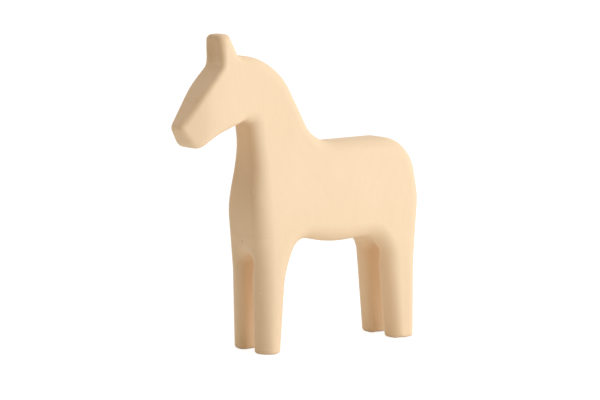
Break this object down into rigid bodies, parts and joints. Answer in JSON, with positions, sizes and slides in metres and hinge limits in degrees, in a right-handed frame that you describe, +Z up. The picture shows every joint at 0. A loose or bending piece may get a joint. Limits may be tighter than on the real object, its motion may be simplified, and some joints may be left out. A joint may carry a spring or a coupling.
{
  "type": "carved wooden horse",
  "caption": "Plain carved wooden horse on four straight legs, with an arched neck, a short faceted head and one ear block, made of upright staves glued edge to edge.",
  "frame": {"origin": "on the floor, under the middle of the horse's overall box", "axes": "the horse looks along -Y, +X is its left side, +Z is up"},
  "size_m": [0.04, 0.172, 0.198],
  "materials": {
    "pale_wood": "bare close-grained wood, fine sanded, grain running up and down"
  },
  "bodies": {
    "root": {"muzzle_stave": "pale_wood", "head_stave": "pale_wood", "chest_stave": "pale_wood", "withers_stave": "pale_wood", "loin_stave": "pale_wood", "rump_stave": "pale_wood"}
  },
  "joints": []
}
